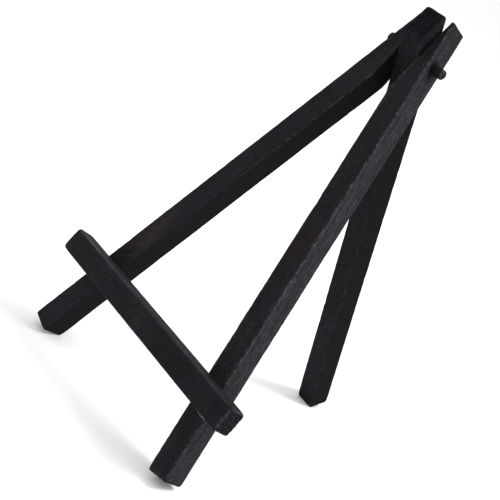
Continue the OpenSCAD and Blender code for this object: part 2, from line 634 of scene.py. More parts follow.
@dataclass
class Sweep:
    """A stick of four flat faces, in its own millimetres, with z along the grain.

    x_range gives the lowest and highest x of the section at each z. bottom and top give the height of
    the end cuts over a point of the section. Near an end, over end_shear, the sections lean with its cut.
    """

    x_range: Callable[[np.ndarray], tuple[np.ndarray, np.ndarray]]
    half_depth: float
    bottom: Cut
    top: Cut
    z_low: float
    z_high: float
    arris_r: float = 0.22
    least_arris_r: float = 0.12
    end_r: float = 0.35
    end_wear: float = 0.45
    end_wear_run: float = 1.1
    step_round: float = 0.21
    step_along: float = 0.55
    corner_points: int = 5
    end_arc_rings: int = 4
    end_flat_rings: int = 13
    end_shear: float = 14.0
    arris_reach: float = 0.6
    end_reach: float = 0.35
    soak_reach: float = 0.6
    seed: int = 1

    # Wavelength of each wander of an arris, and its share of the radius.
    WANDER = ((31.0, 0.2), (9.0, 0.12), (3.7, 0.08))
    # Largest share of the section's width that an arris takes.
    WIDEST_ARRIS = 0.45
    # How soaked a cut is, where more than 1 means that it is so some way in.
    FULL_SOAK = 1.4
    FEWEST_STEPS_ALONG = 8
    FEWEST_STEPS_ACROSS = 6

    def stations(self) -> np.ndarray:
        """Heights of the sections along the stick."""
        count = max(self.FEWEST_STEPS_ALONG, round((self.z_high - self.z_low) / self.step_along))
        return np.linspace(self.z_low, self.z_high, count + 1)

    def arris_radii(self, z: np.ndarray) -> np.ndarray:
        """Radius of each of the four arrises along the stick: wear makes it wander.

        Args:
            z: Heights of the sections.

        Returns:
            One row for each section, with the four radii.
        """
        rng = np.random.default_rng(self.seed)
        radii = np.full((len(z), 4), self.arris_r)
        for corner in range(4):
            for wavelength, share in self.WANDER:
                phase = rng.uniform(0, 2 * math.pi)
                radii[:, corner] += self.arris_r * share * np.sin(2 * math.pi * z / wavelength + phase)
        gap = np.minimum(np.abs(z - self.z_low), np.abs(self.z_high - z))
        radii += (self.end_wear * np.exp(-gap / self.end_wear_run))[:, None]
        return np.clip(radii, self.least_arris_r, None)

    def ring(self, z: np.ndarray, inset: float = 0.0) -> np.ndarray:
        """Points round the section at each height.

        Args:
            z: Heights of the sections.
            inset: How far the whole outline lies inside the full section.

        Returns:
            An array of sections by points by x and y, counter-clockwise seen from the top.
        """
        x0, x1 = self.x_range(z)
        x0, x1 = x0 + inset, x1 - inset
        y1 = np.full_like(z, self.half_depth - inset)
        y0 = -y1
        radii = np.minimum(self.arris_radii(z), self.WIDEST_ARRIS * (x1 - x0)[:, None])
        corners = [(x1, y0, -90), (x1, y1, 0), (x0, y1, 90), (x0, y0, 180)]
        rounds = []
        for index, (corner_x, corner_y, start) in enumerate(corners):
            r = radii[:, index]
            middle_x = corner_x - r * (1 if index in (0, 1) else -1)
            middle_y = corner_y - r * (1 if index in (1, 2) else -1)
            for turn in np.linspace(0, 90, self.corner_points):
                angle = math.radians(start + turn)
                rounds.append((middle_x + r * math.cos(angle), middle_y + r * math.sin(angle)))
        per_side = max(self.FEWEST_STEPS_ACROSS, round(2 * self.half_depth / self.step_round))
        points = []
        for index in range(4):
            arc = rounds[index * self.corner_points : (index + 1) * self.corner_points]
            points.extend(arc)
            from_x, from_y = arc[-1]
            to_x, to_y = rounds[((index + 1) % 4) * self.corner_points]
            for share in np.linspace(0, 1, per_side + 1)[1:-1]:
                points.append((from_x + (to_x - from_x) * share, from_y + (to_y - from_y) * share))
        return np.stack([np.stack(p, axis=-1) for p in points], axis=1)

    def end_loops(self, height: float, cut: Cut, sign: int) -> list[np.ndarray]:
        """Rings of one end, from its rounded arris to near its middle.

        Args:
            height: Height of the section that the end starts from.
            cut: Height of the end over a point of the section.
            sign: 1 for the top, -1 for the bottom.

        Returns:
            The points of each ring.
        """
        loops = []
        base = np.array([height])
        for turn in np.radians(np.linspace(0, 90, self.end_arc_rings)):
            back = self.end_r * (1 - math.sin(turn))
            flat = self.ring(base, self.end_r * (1 - math.cos(turn)))[0]
            loops.append(np.column_stack([flat, cut(flat[:, 0], flat[:, 1]) - sign * back]))
        edge = loops[-1][:, :2]
        centre = edge.mean(axis=0)
        for share in np.linspace(1, 0, self.end_flat_rings)[1:-1]:
            flat = centre + (edge - centre) * share
            loops.append(np.column_stack([flat, cut(flat[:, 0], flat[:, 1])]))
        return loops

    def mesh_data(self) -> tuple[np.ndarray, Faces]:
        """Builds the closed surface: the four faces, rounded end arrises and the end cuts.

        Returns:
            Points in millimetres, and faces.
        """
        z = self.stations()
        loops = list(reversed(self.end_loops(self.z_low, self.bottom, -1)[1:]))
        for height, flat in zip(z, self.ring(z)):
            tall = np.full(len(flat), height)
            low_pull = np.clip(1 - (height - self.z_low) / self.end_shear, 0, 1)
            high_pull = np.clip(1 - (self.z_high - height) / self.end_shear, 0, 1)
            tall += low_pull * (self.bottom(flat[:, 0], flat[:, 1]) + self.end_r - self.z_low)
            tall += high_pull * (self.top(flat[:, 0], flat[:, 1]) - self.end_r - self.z_high)
            loops.append(np.column_stack([flat, tall]))
        loops.extend(self.end_loops(self.z_high, self.top, 1)[1:])
        points = np.vstack([*loops, loops[0].mean(axis=0), loops[-1].mean(axis=0)])
        return points, ring_faces(len(loops), len(loops[0]))

    def along(self, p: np.ndarray) -> np.ndarray:
        """Share of the stick's length at which each point lies."""
        return (p[:, 2] - self.z_low) / (self.z_high - self.z_low)

    def edges(self, p: np.ndarray) -> tuple[np.ndarray, np.ndarray, np.ndarray]:
        """Says how near each point is to an arris and to an end cut.

        Args:
            p: Points in millimetres.

        Returns:
            Three arrays from 0 to 1: on an arris, on an end cut, and where end grain soaks up stain.
        """
        x0, x1 = self.x_range(p[:, 2])
        flat_gap = np.abs(
            np.column_stack(
                [
                    p[:, 0] - x0,
                    x1 - p[:, 0],
                    p[:, 1] + self.half_depth,
                    self.half_depth - p[:, 1],
                    p[:, 2] - self.bottom(p[:, 0], p[:, 1]),
                    self.top(p[:, 0], p[:, 1]) - p[:, 2],
                ]
            )
        )
        nearest = np.sort(flat_gap, axis=1)
        arris = np.clip(1 - (nearest[:, 0] + nearest[:, 1]) / self.arris_reach, 0, 1)
        to_end = flat_gap[:, 4:].min(axis=1)
        end = np.clip(1 - to_end / self.end_reach, 0, 1)
        return arris, end, np.clip(self.FULL_SOAK - to_end / self.soak_reach, 0, 1)


def mesh_object(name: str, points: np.ndarray, faces: Faces) -> bpy.types.Object:
    """Makes a smooth-shaded object at the origin.

    Args:
        name: Name of the object and its mesh.
        points: Points in metres.
        faces: Faces, outward.

    Returns:
        The object, linked into the scene.
    """
    mesh = bpy.data.meshes.new(name)
    mesh.from_pydata(points.tolist(), [], faces)
    mesh.validate()
    mesh.polygons.foreach_set("use_smooth", [True] * len(mesh.polygons))
    thing = bpy.data.objects.new(name, mesh)
    bpy.context.collection.objects.link(thing)
    return thing


def placed(points: np.ndarray, place: Matrix) -> np.ndarray:
    """Moves points by a matrix.

    Args:
        points: Rows of x, y and z.
        place: A 4 by 4 matrix.

    Returns:
        The moved points.
    """
    m = np.array(place)
    return points @ m[:3, :3].T + m[:3, 3]


def rod_data(rings: list[tuple[float, float]], sides: int) -> tuple[np.ndarray, Faces]:
    """Turns a profile round the z axis into a closed rod.

    Args:
        rings: Height and radius of each ring, from the bottom up.
        sides: Points round each ring.

    Returns:
        Points and faces.
    """
    angles = np.linspace(0, 2 * math.pi, sides, endpoint=False)
    rows = [np.column_stack([r * np.cos(angles), r * np.sin(angles), np.full(sides, h)]) for h, r in rings]
    points = np.vstack([*rows, [[0, 0, rings[0][0]]], [[0, 0, rings[-1][0]]]])
    return points, ring_faces(len(rings), sides)


def settle(thing: bpy.types.Object) -> None:
    """Turns an object and its modifiers into a plain mesh.

    Args:
        thing: The object, which keeps its name and its materials.
    """
    graph = bpy.context.evaluated_depsgraph_get()
    graph.update()
    mesh = bpy.data.meshes.new_from_object(thing.evaluated_get(graph), depsgraph=graph)
    thing.modifiers.clear()
    old = thing.data
    thing.data = mesh
    bpy.data.meshes.remove(old)
    mesh.name = thing.name


def drill(target: bpy.types.Object, hole: Hole, sides: int = 40) -> None:
    """Drills a round hole through a mesh.

    Args:
        target: The object that gets the hole.
        hole: Place of the drill, whose z axis is the hole's axis, its radius and its length.
        sides: Points round the drill.
    """
    place, radius, length = hole
    points, faces = rod_data([(-length / 2, radius), (length / 2, radius)], sides)
    tool = mesh_object("drill", placed(points, place), faces)
    cut = target.modifiers.new("hole", "BOOLEAN")
    cut.operation = "DIFFERENCE"
    cut.solver = "EXACT"
    cut.object = tool
    settle(target)
    bpy.data.objects.remove(tool, do_unlink=True)


# The masks that the surface and the finish read, and what each is where a piece says nothing of it.
USUAL_MASKS = {
    "arris": 0.0,
    "end": 0.0,
    "soaked": 0.0,
    "bare": 0.0,
    "swollen": 1.0,
    "brown": 0.0,
    "torn": 0.0,
    "pooled": 0.0,
    "fibre": 0.0,
}


def mark(thing: bpy.types.Object, grain: np.ndarray, masks: dict[str, np.ndarray]) -> None:
    """Stores the grain coordinates and the masks of each point of an object.

    Args:
        thing: The object.
        grain: Its points in its own millimetres, with z along the grain.
        masks: One value for each point, by the mask's name.
    """
    attribute = thing.data.attributes.new("grain", "FLOAT_VECTOR", "POINT")
    attribute.data.foreach_set("vector", grain.astype(np.float32).ravel())
    for name, usual in USUAL_MASKS.items():
        values = masks.get(name, np.full(len(grain), usual))
        attribute = thing.data.attributes.new(name, "FLOAT", "POINT")
        attribute.data.foreach_set("value", values.astype(np.float32))


# ---------------------------------------------------------------------------------------------
# Sawn surface: Geometry Nodes
# ---------------------------------------------------------------------------------------------


@dataclass(frozen=True)
class Relief:
    """One unevenness of the surface: noise whose grains are across mm wide and along mm long.

    With levels, it only cuts in, more as the noise rises from the first level to the second. Without
    them it swings both ways. It is multiplied by each factor: an input, a mask or millimetres.
    """

    across: float
    along: float
    detail: float
    factors: tuple[str | float, ...]
    levels: tuple[float, float] | None = None


@dataclass(frozen=True)
class SawnSurface:
    """How rough a timber's surface is, in millimetres, and how many fibres stand up from it.

    swell is how far the wet stain raised the whole surface.
    """

    swell: float = 0.15
    wave: float = 0.05
    fibre_relief: float = 0.07
    pit_depth: float = 0.10
    chip_depth: float = 0.14
    end_relief: float = 0.16
    fibres_per_cm2: float = 40.0
    fibre_length: float = 1.0
    seed: int = 1

    TREE = "sawn timber"
    INPUTS = {
        "Swell": "swell",
        "Wave": "wave",
        "Fibre Relief": "fibre_relief",
        "Pit Depth": "pit_depth",
        "Chip Depth": "chip_depth",
        "End Relief": "end_relief",
        "Fibres": "fibres_per_cm2",
        "Fibre Length": "fibre_length",
    }
    MASKS = ("bare", "swollen", "torn", "arris", "end")
    # In turn: the wave of the saw, the fibres, pits, torn grain, chipped arrises and rough ends.
    RELIEFS = (
        Relief(14.0, 8.0, 1.0, ("Wave",)),
        Relief(0.5, 3.6, 3.0, ("Fibre Relief", "roughened")),
        Relief(0.55, 2.4, 1.0, ("Pit Depth",), (0.62, 0.74)),
        Relief(1.1, 1.5, 2.0, ("torn", 0.22), (0.46, 0.60)),
        Relief(1.8, 3.2, 2.0, ("arris", "Chip Depth"), (0.54, 0.70)),
        Relief(0.6, 0.6, 3.0, ("End Relief", "end")),
    )
    SEED_SHIFT = (17.3, 31.7, 53.1)
    # Relief and fibres on a well stained face, and what a bare one has more.
    ROUGHENED_LEAST = 0.6
    ROUGHENED_BARE = 0.9
    # Fibres stand only where the end mask is under this.
    SIDE_ONLY = 0.05
    CM2_IN_M2 = 10000.0
    # Length, width and height of a fibre.
    SMALLEST_FIBRE = (0.35, 0.09, 0.05)
    LARGEST_FIBRE = (1.5, 0.19, 0.11)

    @classmethod
    def values(cls, tree: bpy.types.NodeTree) -> dict[str, Value]:
        """Reads the inputs and the masks, and works out how rough each spot is.

        Args:
            tree: The surface's tree.

        Returns:
            A socket by each one's name.
        """
        found: dict[str, Value] = {s.name: s for s in add_node(tree, "NodeGroupInput").outputs}
        for name in cls.MASKS:
            mask = add_node(tree, "GeometryNodeInputNamedAttribute", {"Name": name}, data_type="FLOAT")
            found[name] = mask.outputs["Attribute"]
        rules = (
            ("roughened_bare", "MULTIPLY", "bare", cls.ROUGHENED_BARE),
            ("roughened", "ADD", "roughened_bare", cls.ROUGHENED_LEAST),
            ("swelling", "MULTIPLY", "Swell", "swollen"),
            ("per_m2", "MULTIPLY", "Fibres", cls.CM2_IN_M2),
            ("per_m2_rough", "MULTIPLY", "per_m2", "roughened"),
            ("on_side", "LESS_THAN", "end", cls.SIDE_ONLY),
            ("density", "MULTIPLY", "per_m2_rough", "on_side"),
        )
        for name, operation, first, second in rules:
            terms = {0: found[first], 1: found.get(second, second)}
            found[name] = add_node(tree, "ShaderNodeMath", terms, operation=operation).outputs[0]
        return found

    @classmethod
    def push(cls, tree: bpy.types.NodeTree, found: dict[str, Value]) -> Value:
        """Adds up the swell and every relief.

        Args:
            tree: The surface's tree.
            found: Its inputs and masks.

        Returns:
            How far each point moves outwards, in millimetres.
        """
        own = add_node(
            tree, "GeometryNodeInputNamedAttribute", {"Name": "grain"}, data_type="FLOAT_VECTOR"
        )
        shift = add_node(
            tree, "ShaderNodeVectorMath", {0: cls.SEED_SHIFT, 1: found["Seed"]}, operation="MULTIPLY"
        )
        shifted = {0: own.outputs["Attribute"], 1: shift.outputs[0]}
        grain = add_node(tree, "ShaderNodeVectorMath", shifted, operation="ADD").outputs[0]
        total = found["swelling"]
        for relief in cls.RELIEFS:
            scale = (1 / relief.across, 1 / relief.across, 1 / relief.along)
            spot = add_node(tree, "ShaderNodeVectorMath", {0: grain, 1: scale}, operation="MULTIPLY")
            noise = add_node(
                tree,
                "ShaderNodeTexNoise",
                {"Vector": spot.outputs[0], "Scale": 1.0, "Detail": relief.detail},
            ).outputs["Fac"]
            if relief.levels:
                low, high = relief.levels
                value = add_node(
                    tree,
                    "ShaderNodeMapRange",
                    {"Value": noise, "From Min": low, "From Max": high},
                    interpolation_type="SMOOTHSTEP",
                ).outputs["Result"]
                factors = relief.factors
            else:
                value = add_node(tree, "ShaderNodeMath", {0: noise, 1: 0.5}, operation="SUBTRACT").outputs[0]
                factors = (2.0, *relief.factors)
            for factor in factors:
                terms = {0: value, 1: found.get(factor, factor)}
                value = add_node(tree, "ShaderNodeMath", terms, operation="MULTIPLY").outputs[0]
            way = "SUBTRACT" if relief.levels else "ADD"
            total = add_node(tree, "ShaderNodeMath", {0: total, 1: value}, operation=way).outputs[0]
        return total

    @classmethod
    def raised_fibres(
        cls, tree: bpy.types.NodeTree, found: dict[str, Value], rough: bpy.types.NodeSocket
    ) -> bpy.types.NodeSocket:
        """Sets short fibres on the timber's sides, along its grain.

        Args:
            tree: The surface's tree.
            found: Its inputs and masks.
            rough: The roughened timber.

        Returns:
            The fibres, as instances that carry the fibre mask.
        """
        spots = add_node(
            tree,
            "GeometryNodeDistributePointsOnFaces",
            {"Mesh": rough, "Density": found["density"], "Seed": found["Seed"]},
        )
        upright = add_node(
            tree, "FunctionNodeAlignRotationToVector", {"Vector": spots.outputs["Normal"]}, axis="Z"
        )
        along = add_node(
            tree,
            "FunctionNodeAlignRotationToVector",
            {"Rotation": upright.outputs["Rotation"], "Vector": found["Grain Axis"]},
            axis="X",
            pivot_axis="Z",
        )
        sizes = add_node(
            tree,
            "FunctionNodeRandomValue",
            {0: cls.SMALLEST_FIBRE, 1: cls.LARGEST_FIBRE, "Seed": found["Seed"]},
            data_type="FLOAT_VECTOR",
        ).outputs[0]
        length = add_node(tree, "ShaderNodeCombineXYZ", {"X": found["Fibre Length"], "Y": 1.0, "Z": 1.0})
        drawn = add_node(tree, "ShaderNodeVectorMath", {0: sizes, 1: length.outputs[0]}, operation="MULTIPLY")
        scale = add_node(tree, "ShaderNodeVectorMath", {0: drawn.outputs[0], "Scale": MM}, operation="SCALE")
        fibre = add_node(tree, "GeometryNodeMeshIcoSphere", {"Radius": 0.5, "Subdivisions": 1})
        fibres = add_node(
            tree,
            "GeometryNodeInstanceOnPoints",
            {
                "Points": spots.outputs["Points"],
                "Instance": fibre.outputs["Mesh"],
                "Rotation": along.outputs["Rotation"],
                "Scale": scale.outputs[0],
            },
        )
        marked = add_node(
            tree,
            "GeometryNodeStoreNamedAttribute",
            {"Geometry": fibres.outputs["Instances"], "Name": "fibre", "Value": 1.0},
            data_type="FLOAT",
            domain="INSTANCE",
        )
        return marked.outputs["Geometry"]

    @classmethod
    def tree(cls) -> bpy.types.NodeTree:
        """Builds the tree once, or finds it.

        Returns:
            A tree that roughens a timber and sets raised fibres along its grain.
        """
        if cls.TREE in bpy.data.node_groups:
            return bpy.data.node_groups[cls.TREE]
        tree = bpy.data.node_groups.new(cls.TREE, "GeometryNodeTree")
        sockets = [
            ("Geometry", "INPUT", "NodeSocketGeometry"),
            *((label, "INPUT", "NodeSocketFloat") for label in cls.INPUTS),
            ("Seed", "INPUT", "NodeSocketInt"),
            ("Grain Axis", "INPUT", "NodeSocketVector"),
            ("Material", "INPUT", "NodeSocketMaterial"),
            ("Geometry", "OUTPUT", "NodeSocketGeometry"),
        ]
        for label, way, kind in sockets:
            tree.interface.new_socket(label, in_out=way, socket_type=kind)
        found = cls.values(tree)
        metres = add_node(tree, "ShaderNodeMath", {0: cls.push(tree, found), 1: MM}, operation="MULTIPLY")
        normal = add_node(tree, "GeometryNodeInputNormal").outputs["Normal"]
        offset = add_node(
            tree, "ShaderNodeVectorMath", {0: normal, "Scale": metres.outputs[0]}, operation="SCALE"
        ).outputs[0]
        rough = add_node(
            tree, "GeometryNodeSetPosition", {"Geometry": found["Geometry"], "Offset": offset}
        ).outputs["Geometry"]
        both = add_node(tree, "GeometryNodeJoinGeometry")
        for part in (rough, cls.raised_fibres(tree, found, rough)):
            tree.links.new(part, both.inputs[0])
        smooth = add_node(
            tree, "GeometryNodeSetShadeSmooth", {"Geometry": both.outputs["Geometry"], "Shade Smooth": True}
        )
        real = add_node(tree, "GeometryNodeRealizeInstances", {"Geometry": smooth.outputs["Geometry"]})
        dressed = add_node(
            tree,
            "GeometryNodeSetMaterial",
            {"Geometry": real.outputs["Geometry"], "Material": found["Material"]},
        )
        add_node(tree, "NodeGroupOutput", {"Geometry": dressed.outputs["Geometry"]})
        return tree

    def apply(self, thing: bpy.types.Object, place: Matrix, material: bpy.types.Material) -> None:
        """Roughens a timber and turns the result into a plain mesh.

        Args:
            thing: The timber, with its grain coordinates and masks.
            place: Its place, whose z axis is the grain.
            material: Its finish.
        """
        tree = self.tree()
        modifier = thing.modifiers.new("sawn", "NODES")
        modifier.node_group = tree
        keys = {s.name: s.identifier for s in tree.interface.items_tree if s.in_out == "INPUT"}
        for label, name in self.INPUTS.items():
            modifier[keys[label]] = float(getattr(self, name))
        modifier[keys["Seed"]] = self.seed
        modifier[keys["Grain Axis"]] = tuple((place.to_3x3() @ Vector((0, 0, 1))).normalized())
        modifier[keys["Material"]] = material
        settle(thing)


# ---------------------------------------------------------------------------------------------
# The easel's pieces
# ---------------------------------------------------------------------------------------------


@dataclass(frozen=True)
class Wear:
    """How a timber took the stain, where it wears, and where light and shade are painted on it.

    foot_faces and head_faces say how much lighter the +x, +y, -x and -y faces are painted below and
    above head_from, which holds two shares of the length: partly for thin stain, and partly as painted
    light on faces that catch it. Below 0, a face is painted darker as shade. arrises gives the share of
    the rubbing, and of a painted highlight, on the +x -y, +x +y, -x +y and -x -y arrises, which changes
    by arris_head along arris_head_from, and is arris_end at the very top. One field holds a painted
    shadow under the dowel's knob on the +x face: its y, its z and its reach. A spot on the front face
    has its x, its z and its strength. tight_back presses the back face in, so that the rear leg folds
    up to it.
    """

    foot_faces: Four
    head_faces: Four
    head_from: tuple[float, float]
    arrises: Four = (1.0, 1.0, 1.0, 1.0)
    arris_head: float = 1.0
    arris_head_from: tuple[float, float] = (0.35, 0.7)
    arris_end: float | None = None
    pool: Three | None = None
    brown_spots: Spots = ()
    torn_spots: Spots = ()
    tight_back: bool = False

    # How far a spot reaches across the face and along the grain.
    BROWN_REACH = (2.6, 6.5)
    TORN_REACH = (3.4, 4.2)
    # Depths under the back face, and the share of the swell at each when it is pressed in.
    BACK_SWELL = ((0.0, 0.6), (-0.4, 1.0))
    # Painted knob shadow: strength in its middle, fall over its reach, and how much further it runs down.
    POOL_EDGE = (1.6, 1.2)
    RUN_DOWN = 1.7
    # Farthest that a point of the +x face is from the flat, and the front face's least share of half
    # the depth.
    ON_FACE = 0.4
    FRONT_SHARE = 0.9

    def bare(self, sweep: Sweep, p: np.ndarray) -> np.ndarray:
        """How much lighter each face is painted, partly for thin stain and partly as painted light and shade.

        Args:
            sweep: The timber's sweep.
            p: Points in the timber's own millimetres.

        Returns:
            A value up to 1 for each point, below 0 where the face is painted darker as shade.
        """
        x0, x1 = sweep.x_range(p[:, 2])
        half = sweep.half_depth
        gaps = np.abs(np.column_stack([x1 - p[:, 0], half - p[:, 1], p[:, 0] - x0, p[:, 1] + half]))
        face = gaps.argmin(axis=1)
        head = np.interp(sweep.along(p), self.head_from, (0.0, 1.0))
        low = np.array(self.foot_faces)[face]
        return low + (np.array(self.head_faces)[face] - low) * head

    def rubbed(self, sweep: Sweep, p: np.ndarray) -> np.ndarray:
        """How much wear and painted highlight the arris nearest to each point has.

        Args:
            sweep: The timber's sweep.
            p: Points in the timber's own millimetres.

        Returns:
            That arris's share of the wear and of the painted highlight for each point.
        """
        x0, x1 = sweep.x_range(p[:, 2])
        right = p[:, 0] > (x0 + x1) / 2
        back = p[:, 1] > 0
        corner = np.where(right, np.where(back, 1, 0), np.where(back, 2, 3))
        change = np.interp(sweep.along(p), self.arris_head_from, (1.0, self.arris_head))
        wear = np.array(self.arrises)[corner] * change
        if self.arris_end is None:
            return wear
        return np.where(p[:, 2] > sweep.z_high - sweep.end_r * 2, self.arris_end, wear)

    def pooled(self, sweep: Sweep, p: np.ndarray) -> np.ndarray:
        """Paints the shadow of the dowel's knob: a dark spot that reaches further down than up.

        Args:
            sweep: The timber's sweep.
            p: Points in the timber's own millimetres.

        Returns:
            A value from 0 to 1 for each point.
        """
        if self.pool is None:
            return np.zeros(len(p))
        y, z, reach = self.pool
        middle, slope = self.POOL_EDGE
        down = np.where(p[:, 2] < z, self.RUN_DOWN, 1.0)
        gap = np.hypot(p[:, 1] - y, (p[:, 2] - z) / down) / reach
        _, x1 = sweep.x_range(p[:, 2])
        return np.clip(middle - gap * slope, 0, 1) * (np.abs(p[:, 0] - x1) < self.ON_FACE)

    def spotted(self, sweep: Sweep, p: np.ndarray, spots: Spots, reach: tuple[float, float]) -> np.ndarray:
        """Soft spots on the front face.

        Args:
            sweep: The timber's sweep.
            p: Points in the timber's own millimetres.
            spots: x, z and strength of each spot.
            reach: How far a spot reaches across the face and along the grain.

        Returns:
            A value from 0 to 1 for each point.
        """
        wide, long = reach
        total = np.zeros(len(p))
        for across, along, strength in spots:
            away = ((p[:, 0] - across) / wide) ** 2 + ((p[:, 2] - along) / long) ** 2
            total += strength * np.exp(-away) * (p[:, 1] < -sweep.half_depth * self.FRONT_SHARE)
        return np.clip(total, 0, 1)

    def masks(self, sweep: Sweep, p: np.ndarray) -> dict[str, np.ndarray]:
        """Works out what the surface and the finish read at each point.

        Args:
            sweep: The timber's sweep.
            p: Points in the timber's own millimetres.

        Returns:
            The masks by name.
        """
        arris, end, soaked = sweep.edges(p)
        masks = {
            "arris": arris * self.rubbed(sweep, p),
            "end": end,
            "soaked": soaked,
            "bare": self.bare(sweep, p),
            "brown": self.spotted(sweep, p, self.brown_spots, self.BROWN_REACH),
            "torn": self.spotted(sweep, p, self.torn_spots, self.TORN_REACH),
            "pooled": self.pooled(sweep, p),
        }
        if self.tight_back:
            masks["swollen"] = np.interp(sweep.half_depth - p[:, 1], *self.BACK_SWELL)
        return masks


@dataclass(frozen=True)
class Timber:
    """A timber as it is built: its sweep, its place, its holes, its surface and its finish."""

    name: str
    node: str
    body: str
    slot: str
    sweep: Sweep
    place: Matrix
    surface: SawnSurface
    finish: StainedPine
    wear: Wear
    holes: tuple[Hole, ...] = ()

    def build(self) -> bpy.types.Object:
        """Builds, drills, roughens and dresses the timber, and puts it on its body.

        Returns:
            The finished object.
        """
        points, faces = self.sweep.mesh_data()
        thing = mesh_object(self.name, placed(points, self.place), faces)
        for hole in self.holes:
            drill(thing, hole)
        where = np.empty(len(thing.data.vertices) * 3)
        thing.data.vertices.foreach_get("co", where)
        own = placed(where.reshape(-1, 3), self.place.inverted())
        mark(thing, own, self.wear.masks(self.sweep, own))
        self.surface.apply(thing, self.place, self.finish.material())
        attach(thing, self.body)
        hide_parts(self.node)
        return thing


@dataclass(frozen=True)
class PivotDowel:
    """The round dowel through the legs' tops, with its two ends rounded over.

    It droops a little from left to right, and stands extra_left further out on the left. The side of
    the close-grained birch is painted almost black for the shade it is in, and its ends are painted
    lighter, with grey glints, for the light they face.
    """

    end_r: float = 0.35
    droop_deg: float = 1.9
    extra_left: float = 0.5
    sides: int = 56
    step: float = 0.35
    bore_len: float = 60.0
    bareness: float = 0.1
    arris_reach: float = 0.6
    end_reach: float = 0.2
    cap_turns: int = 5
    cap_shares: Three = (0.75, 0.5, 0.25)
    surface: SawnSurface = SawnSurface(
        wave=0.02, fibre_relief=0.03, pit_depth=0.03, chip_depth=0.12, end_relief=0.1, fibres_per_cm2=0.0
    )
    # Painted shade and light: the side's colours are near black for the shade it is in, and the ends' colours
    # lighter, with grey glints, for the light they face.
    finish: StainedPine = StainedPine(
        name="black-stained birch dowel",
        deep="#080809",
        body="#0d0d0e",
        thin="#232322",
        rubbed="#6a6964",
        end_black="#1c1b19",
        specular=0.05,
        end_specular=0.1,
        end_glint=0.9,
        fibre_mm=0.3,
        fibre_run_mm=6.0,
    )

    def place(self) -> Matrix:
        """Lays the dowel through the legs.

        Returns:
            The matrix from the dowel's millimetres, with z along it, to the scene's metres.
        """
        left = Matrix.Translation((-SIZES.outer_x(0), 0, 0))
        droop = Matrix.Rotation(math.radians(self.droop_deg), 4, "Y")
        return standing_frame() @ left @ droop @ left.inverted() @ Matrix.Rotation(math.pi / 2, 4, "Y")

    def bore(self, gap: float) -> Hole:
        """The hole that the dowel goes through, its radius gap wider than the dowel's."""
        return self.place(), SIZES.dowel_d / 2 + gap, self.bore_len

    def build(self) -> bpy.types.Object:
        """Builds the dowel and puts it on the front frame.

        Returns:
            The finished object.
        """
        s = SIZES
        low = -s.outer_x(0) - s.dowel_out_left - self.extra_left
        high = s.outer_x(0) + s.dowel_out_right
        r = s.dowel_d / 2
        turns = np.radians(np.linspace(0, 90, self.cap_turns))
        cap = [(self.end_r * (1 - math.sin(t)), r - self.end_r * (1 - math.cos(t))) for t in turns]
        cap += [(0.0, (r - self.end_r) * share) for share in self.cap_shares]
        rings = [(low + h, radius) for h, radius in reversed(cap)]
        rings += [(h, r) for h in np.arange(low + self.end_r + self.step, high - self.end_r, self.step)]
        rings += [(high - h, radius) for h, radius in cap]
        points, faces = rod_data(rings, self.sides)
        place = self.place()
        thing = mesh_object("birch_dowel", placed(points, place), faces)
        inwards = r - np.hypot(points[:, 0], points[:, 1])
        gap = np.minimum(points[:, 2] - low, high - points[:, 2])
        end = np.clip(1 - gap / self.end_reach, 0, 1)
        arris = np.clip(1 - (gap + inwards) / self.arris_reach, 0, 1)
        bare = np.full(len(points), self.bareness)
        mark(thing, points, {"arris": arris, "end": end, "soaked": end, "bare": bare})
        self.surface.apply(thing, place, self.finish.material())
        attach(thing, "front_frame")
        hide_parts("pivot_dowel")
        return thing


